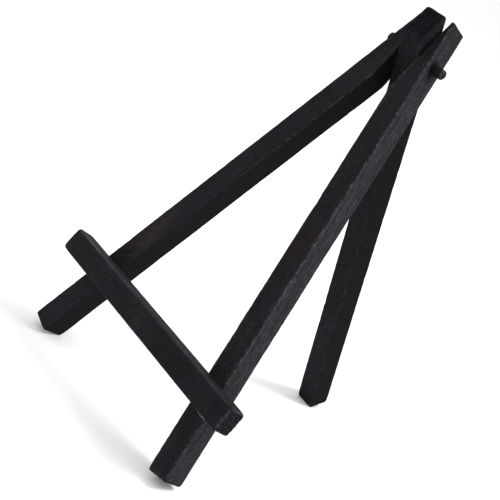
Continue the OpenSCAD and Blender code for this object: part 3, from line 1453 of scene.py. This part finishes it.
@dataclass(frozen=True)
class FrontLeg:
    """A front leg, splayed outwards, its inner side cut flat at the top beside the rear leg.

    foot_tilt is how much lower the foot's front is than its back, top_over how far the top is over
    length, and flare_deg how much more than the splay the inner flat opens.
    """

    side: Side
    wear: Wear
    finish: StainedPine
    foot_tilt: float
    top_over: float
    flare_deg: float
    arris_seed: int
    surface_seed: int
    chip_depth: float = 0.09
    bore_gap: float = 0.04

    @classmethod
    def left(cls) -> "FrontLeg":
        """The left leg: inner side painted darker as shade, more wear and painted highlight on its arrises
        near its top, and torn on its front by the foot.

        Returns:
            The leg, ready to build.
        """
        # Painted shade: the +x face, the leg's inner side, is painted darker as the shade between the legs,
        # most near the top. The arrises take more wear and painted highlight towards the top.
        wear = Wear(
            foot_faces=(-0.35, 0.2, 0.6, 0.1),
            head_faces=(-0.5, 0.2, 0.6, 0.1),
            head_from=(0.35, 0.7),
            arrises=(0.28, 0.3, 0.3, 0.3),
            arris_head=2.8,
            brown_spots=((-3.2, -89.0, 0.95), (-1.5, -96.0, 0.5), (-5.5, -79.0, 0.4), (-2.5, 4.0, 0.3)),
            torn_spots=((-3.6, -101.0, 1.0), (-5.5, -96.5, 0.5)),
        )
        finish = StainedPine(
            name="black-stained sawn pine, left leg",
            thin="#2b2b30",
            rubbed="#4c4c53",
            brown="#33282a",
            cast=0.6,
            streak_least=0.45,
        )
        return cls(Side.LEFT, wear, finish, 0.75, 0.0, 0.0, arris_seed=4, surface_seed=23)

    @classmethod
    def right(cls) -> "FrontLeg":
        """The right leg: outside painted lighter for thin stain and sheen, arris wear and painted highlight
        all along, and a painted shadow under the dowel's knob.

        Returns:
            The leg, ready to build.
        """
        # The +x face, the leg's outer side, is painted lighter, with the finish's lighter thin colour, partly
        # for the thin stain on its rough face and partly as painted sheen, less so near the top. The painted
        # shadow under the dowel's knob lies on that face.
        wear = Wear(
            foot_faces=(1.0, 0.2, 0.05, 0.05),
            head_faces=(0.5, 0.2, 0.05, 0.0),
            head_from=(0.78, 0.97),
            pool=(-0.6, 12.2, 2.3),
            brown_spots=((2.4, -14.0, 0.7), (4.2, -53.0, 0.75), (3.0, -60.0, 0.4), (3.5, 8.0, 0.3)),
        )
        finish = StainedPine(
            name="black-stained sawn pine, right leg",
            thin="#333339",
            rubbed="#4c4c53",
            arris_wear=0.85,
            cast=0.4,
            streak_least=0.45,
        )
        return cls(Side.RIGHT, wear, finish, 0.1, 0.45, SIZES.slot_flare, arris_seed=7, surface_seed=11)

    def x_range(self, z: np.ndarray) -> tuple[np.ndarray, np.ndarray]:
        """Finds the leg's two sides: the inner one is cut flat above z = 0.

        Args:
            z: Heights along the leg.

        Returns:
            The lowest and the highest x at each height.
        """
        lean_in = math.tan(math.radians(SIZES.splay) + math.radians(self.flare_deg))
        cut = np.clip(z, 0, None) * lean_in
        full = np.full_like(z, SIZES.leg_w)
        return (cut, full) if self.side is Side.RIGHT else (-full, -cut)

    def build(self) -> bpy.types.Object:
        """Builds the leg in its place.

        Returns:
            The finished object.
        """
        s = SIZES
        sign = self.side.value
        foot = Matrix.Translation((sign * s.slot_half, 0, -s.slot_below))
        splay = Matrix.Rotation(-sign * math.radians(s.splay), 4, "Y")
        sweep = Sweep(
            x_range=self.x_range,
            half_depth=s.leg_d / 2,
            bottom=lambda x, y: -s.leg_low - self.foot_tilt * (0.5 - y / s.leg_d),
            top=lambda x, y: np.full_like(x, s.leg_up + self.top_over),
            z_low=-s.leg_low,
            z_high=s.leg_up,
            seed=self.arris_seed,
        )
        return Timber(
            name=f"sawn_leg_{self.side.word}",
            node=f"front_leg_{self.side.word}",
            body="front_frame",
            slot="leg_wood",
            sweep=sweep,
            place=standing_frame() @ foot @ splay,
            surface=SawnSurface(chip_depth=self.chip_depth, seed=self.surface_seed),
            finish=self.finish,
            wear=self.wear,
            holes=(PivotDowel().bore(self.bore_gap),),
        ).build()


@dataclass(frozen=True)
class RearLeg:
    """The rear leg, whose head has a slanting cut up to a blunt tip.

    Its bore is wide enough for the drooping dowel to clear it at every angle. It stands in the front
    legs' shade, so its colours and its +x face are painted darker as shade, which makes it the darkest
    of the four timbers; its arrises have the least wear and painted highlight.
    """

    bore_r: float = 2.55
    bore_len: float = 60.0
    end_r: float = 0.55
    end_shear: float = 18.0
    arris_seed: int = 13
    surface: SawnSurface = SawnSurface(seed=37)
    # Painted shade: the +x face is painted darker below the head and lighter on the head, and the finish's
    # colours are darker, as the shade of the front legs.
    wear: Wear = Wear(
        foot_faces=(-0.5, 0.2, -0.2, 0.35),
        head_faces=(0.8, 0.2, 0.0, 0.1),
        head_from=(0.86, 0.93),
    )
    finish: StainedPine = StainedPine(
        name="black-stained sawn pine, rear leg",
        deep="#09090b",
        body="#111114",
        thin="#212126",
        specular=0.06,
        arris_wear=0.32,
        cast=0.6,
    )

    def build(self) -> bpy.types.Object:
        """Builds the leg in its place.

        Returns:
            The finished object.
        """
        s = SIZES
        rise = math.tan(math.radians(s.mitre))
        start = s.rear_above - (s.rear_d - s.tip_flat) * rise
        sweep = Sweep(
            x_range=lambda z: (np.full_like(z, -s.rear_w / 2), np.full_like(z, s.rear_w / 2)),
            half_depth=s.rear_d / 2,
            bottom=lambda x, y: np.full_like(x, -s.rear_below),
            top=lambda x, y: np.minimum(s.rear_above, start + (y + s.rear_d / 2) * rise),
            z_low=-s.rear_below,
            z_high=s.rear_above,
            end_r=self.end_r,
            end_shear=self.end_shear,
            seed=self.arris_seed,
        )
        across = standing_frame() @ Matrix.Rotation(math.pi / 2, 4, "Y")
        return Timber(
            name="sawn_rear_leg",
            node="rear_leg",
            body="rear_leg",
            slot="leg_wood",
            sweep=sweep,
            place=standing_frame() @ Matrix.Rotation(math.radians(s.opening), 4, "X"),
            surface=self.surface,
            finish=self.finish,
            wear=self.wear,
            holes=((across, self.bore_r, self.bore_len),),
        ).build()


@dataclass(frozen=True)
class Crossbar:
    """The crossbar, planed smoother than the legs, its ends and upper arris showing wear and a painted
    highlight.

    left_over is how far it is over length on the left. right_over is half of what the right end's
    farthest corner is over length, for that end is cut out of square. Planed wood takes the stain
    evenly, so its faces are quiet, and its arrises, with wear and a painted highlight, and its open
    end grain show pale grey. Its top face is painted lighter towards the left end, as the sheen it
    catches there, and its front face a little lighter towards the left end.
    """

    left_over: float = 0.2
    right_over: float = 0.35
    arris_r: float = 0.30
    end_r: float = 0.45
    end_wear: float = 0.95
    end_wear_run: float = 1.3
    arris_seed: int = 5
    surface: SawnSurface = SawnSurface(
        wave=0.04, fibre_relief=0.04, pit_depth=0.05, end_relief=0.34, fibres_per_cm2=3.0, seed=53
    )
    # Painted sheen: the top (-x) face is painted lighter towards the left end, and the front (-y) face a
    # little lighter there. The upper front arris takes wear and a painted highlight, most near the left end.
    wear: Wear = Wear(
        foot_faces=(0.0, 0.1, 1.0, 0.3),
        head_faces=(0.0, 0.1, 0.2, 0.05),
        head_from=(0.05, 0.75),
        arrises=(0.15, 0.3, 0.5, 1.0),
        arris_head=0.45,
        arris_head_from=(0.2, 0.33),
        arris_end=0.8,
        tight_back=True,
    )
    finish: StainedPine = StainedPine(
        name="black-stained planed pine, crossbar",
        deep="#0a0a0c",
        body="#101013",
        thin="#2d2d33",
        rubbed="#5a5a60",
        end_grey="#35353b",
        specular=0.08,
        rub_run_mm=9.0,
        arris_wear=0.9,
        rub_least=0.4,
        cast=0.75,
        end_glint=0.8,
        hairs=0.4,
    )

    def build(self) -> bpy.types.Object:
        """Builds the bar in its place.

        Returns:
            The finished object.
        """
        s = SIZES
        half = s.bar_len / 2
        middle = Matrix.Translation((0, -s.leg_d / 2 - s.bar_d / 2, s.bar_z))
        sweep = Sweep(
            x_range=lambda z: (np.full_like(z, -s.bar_h / 2), np.full_like(z, s.bar_h / 2)),
            half_depth=s.bar_d / 2,
            bottom=lambda x, y: np.full_like(x, -half - self.left_over),
            top=lambda x, y: half + self.right_over * (1 + x / s.bar_h + y / s.bar_d),
            z_low=-half,
            z_high=half,
            arris_r=self.arris_r,
            end_r=self.end_r,
            end_wear=self.end_wear,
            end_wear_run=self.end_wear_run,
            seed=self.arris_seed,
        )
        return Timber(
            name="planed_crossbar",
            node="crossbar",
            body="front_frame",
            slot="crossbar_wood",
            sweep=sweep,
            place=standing_frame() @ middle @ Matrix.Rotation(math.pi / 2, 4, "Y"),
            surface=self.surface,
            finish=self.finish,
            wear=self.wear,
        ).build()


@dataclass(frozen=True)
class Sliver:
    """A sliver of paler wood that lifts from the crossbar's lower front arris.

    Each point is its place along the bar, how far it hangs below the arris, and its half width. Its
    pale colour shows as a small bright line.
    """

    points: tuple[Three, ...] = (
        (38.2, 0.02, 0.03),
        (38.9, 0.14, 0.08),
        (39.8, 0.22, 0.14),
        (40.8, 0.20, 0.20),
        (41.6, 0.10, 0.24),
        (42.4, 0.03, 0.20),
        (43.0, 0.0, 0.06),
    )
    proud: float = 0.12
    flatness: float = 0.8
    rings: int = 40
    sides: int = 14
    finish: StainedPine = StainedPine(
        name="paler torn pine fibre",
        deep="#38383c",
        body="#515156",
        thin="#66666c",
        rubbed="#85858c",
        specular=0.3,
        roughness=0.5,
    )

    def build(self) -> bpy.types.Object:
        """Builds the sliver and puts it on the front frame.

        Returns:
            The finished object.
        """
        s = SIZES
        knots = np.array(self.points)
        share = np.linspace(0, len(knots) - 1, self.rings)
        x, below, radius = (np.interp(share, range(len(knots)), knots[:, i]) for i in range(3))
        front = np.full_like(x, -s.leg_d / 2 - s.bar_d - self.proud)
        line = np.column_stack([x, front, s.bar_z - s.bar_h / 2 - below])
        angles = np.linspace(0, 2 * math.pi, self.sides, endpoint=False)
        forwards = np.array([0, 1, 0])
        rings = []
        for i, spot in enumerate(line):
            ahead = line[min(i + 1, len(line) - 1)] - line[max(i - 1, 0)]
            side = np.cross(forwards, ahead / np.linalg.norm(ahead))
            outline = np.outer(np.cos(angles), side) + self.flatness * np.outer(np.sin(angles), forwards)
            rings.append(spot + radius[i] * outline)
        points = np.vstack([*rings, line[:1], line[-1:]])
        faces = ring_faces(len(line), self.sides)
        thing = mesh_object("lifted_sliver", placed(points, standing_frame()), faces)
        bm = bmesh.new()
        bm.from_mesh(thing.data)
        bmesh.ops.recalc_face_normals(bm, faces=bm.faces)
        bm.to_mesh(thing.data)
        bm.free()
        mark(thing, points[:, [1, 2, 0]], {})
        thing.data.materials.append(self.finish.material())
        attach(thing, "front_frame")
        return thing


@dataclass(frozen=True)
class Brad:
    """A small brad with a flat head, driven from the back of a leg."""

    side: Side
    head_round: float = 0.12
    head_dish: float = 0.02
    head_rim: float = 0.1
    neck_r: float = 0.15
    neck_len: float = 0.3
    point_len: float = 1.4
    point_r: float = 0.12
    sides: int = 32
    finish: BradWire = BradWire()

    def build(self) -> bpy.types.Object:
        """Builds the brad and puts it on the front frame.

        Returns:
            The finished object.
        """
        s = SIZES
        r, head = s.brad_d / 2, s.brad_head_d / 2
        length = s.leg_d + s.brad_grip
        rings = [
            (0.0, head / 2),
            (self.head_dish, head - self.head_round),
            (self.head_round, head),
            (s.brad_head_h - self.head_rim, head),
            (s.brad_head_h, r + self.neck_r),
            (s.brad_head_h + self.neck_len, r),
            (length - self.point_len, r),
            (length, self.point_r),
        ]
        points, faces = rod_data(rings, self.sides)
        across = (s.inner_x(s.bar_z) + s.outer_x(s.bar_z)) / 2 * self.side.value
        spot = Matrix.Translation((across, s.leg_d / 2, s.bar_z))
        place = standing_frame() @ spot @ Matrix.Rotation(math.pi / 2, 4, "X")
        thing = mesh_object(f"steel_brad_{self.side.word}", placed(points, place), faces)
        thing.data.materials.append(self.finish.material())
        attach(thing, "front_frame")
        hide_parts(f"brad_{self.side.word}")
        return thing


# ---------------------------------------------------------------------------------------------
# Camera, floor and light
# ---------------------------------------------------------------------------------------------


@dataclass(frozen=True)
class View:
    """Where the camera stands: angles in degrees, lengths in metres."""

    azimuth: float = 40.13
    elevation: float = 19.13
    roll: float = -29.69
    distance: float = 0.36288
    lens: float = 77.975
    sensor: float = 36.0
    nearest: float = 0.01
    aim: Three = (-0.00767, -0.01561, 0.05884)

    def build(self) -> bpy.types.Object:
        """Makes the camera and makes it the scene's own.

        Returns:
            The camera.
        """
        data = bpy.data.cameras.new("camera")
        data.lens = self.lens
        data.sensor_width = self.sensor
        data.clip_start = self.nearest
        camera = bpy.data.objects.new("camera", data)
        bpy.context.collection.objects.link(camera)
        turn = (
            Matrix.Rotation(math.radians(self.azimuth), 4, "Z")
            @ Matrix.Rotation(math.radians(90 - self.elevation), 4, "X")
            @ Matrix.Rotation(math.radians(-self.roll), 4, "Z")
        )
        back = turn @ Vector((0, 0, self.distance))
        camera.matrix_world = Matrix.Translation(Vector(self.aim) + back) @ turn
        bpy.context.scene.camera = camera
        return camera


@dataclass(frozen=True)
class Lamp:
    """A square soft lamp that faces the easel: its place and side in metres, its power in watts."""

    name: str
    spot: Three
    side: float
    watts: float
    aim: Three = (0.0, 0.0, 0.07)

    def build(self) -> bpy.types.Object:
        """Adds the lamp to the scene.

        Returns:
            The lamp.
        """
        data = bpy.data.lights.new(self.name, "AREA")
        data.size = self.side
        data.energy = self.watts
        lamp = bpy.data.objects.new(self.name, data)
        bpy.context.collection.objects.link(lamp)
        lamp.location = self.spot
        way = Vector(self.aim) - Vector(self.spot)
        lamp.rotation_euler = way.to_track_quat("-Z", "Y").to_euler()
        return lamp


@dataclass(frozen=True)
class Studio:
    """A floor of matt white paper, a white sky and two soft lamps.

    The paper is an even white with no gloss, and takes only a soft shadow where the feet stand.
    """

    floor_half: float = 6.0
    floor_colour: str = "#fcfcfb"
    floor_roughness: float = 0.9
    sky: float = 1.0
    lamps: tuple[Lamp, ...] = (
        Lamp("key from the back right", (0.5, 0.5, 1.1), 0.45, 10.0),
        Lamp("fill from the front left", (-1.1, -0.8, 0.5), 0.8, 2.5),
    )

    def build(self) -> None:
        """Builds the floor, the sky and the lamps."""
        half = self.floor_half
        corners = np.array([[-half, -half, 0], [half, -half, 0], [half, half, 0], [-half, half, 0]])
        floor = mesh_object("floor", corners, [(0, 1, 2, 3)])
        paper = bpy.data.materials.new("matt white paper")
        paper.use_nodes = True
        shader = paper.node_tree.nodes["Principled BSDF"]
        shader.inputs["Base Color"].default_value = linear(self.floor_colour)
        shader.inputs["Roughness"].default_value = self.floor_roughness
        floor.data.materials.append(paper)
        world = bpy.data.worlds.new("sky")
        world.use_nodes = True
        world.node_tree.nodes["Background"].inputs["Color"].default_value = (1, 1, 1, 1)
        world.node_tree.nodes["Background"].inputs["Strength"].default_value = self.sky
        bpy.context.scene.world = world
        for lamp in self.lamps:
            lamp.build()


def main() -> None:
    """Builds the view, the easel and the studio, and reports each piece."""
    View().build()
    pieces = [FrontLeg.left(), FrontLeg.right(), RearLeg(), Crossbar()]
    pieces += [PivotDowel(), Sliver(), Brad(Side.LEFT), Brad(Side.RIGHT)]
    for piece in pieces:
        thing = piece.build()
        triangles = sum(len(p.vertices) - 2 for p in thing.data.polygons)
        log.info("%s: %d triangles", thing.name, triangles)
    Studio().build()
    bpy.context.scene.view_settings.view_transform = "Standard"


if __name__ == "__main__":
    main()
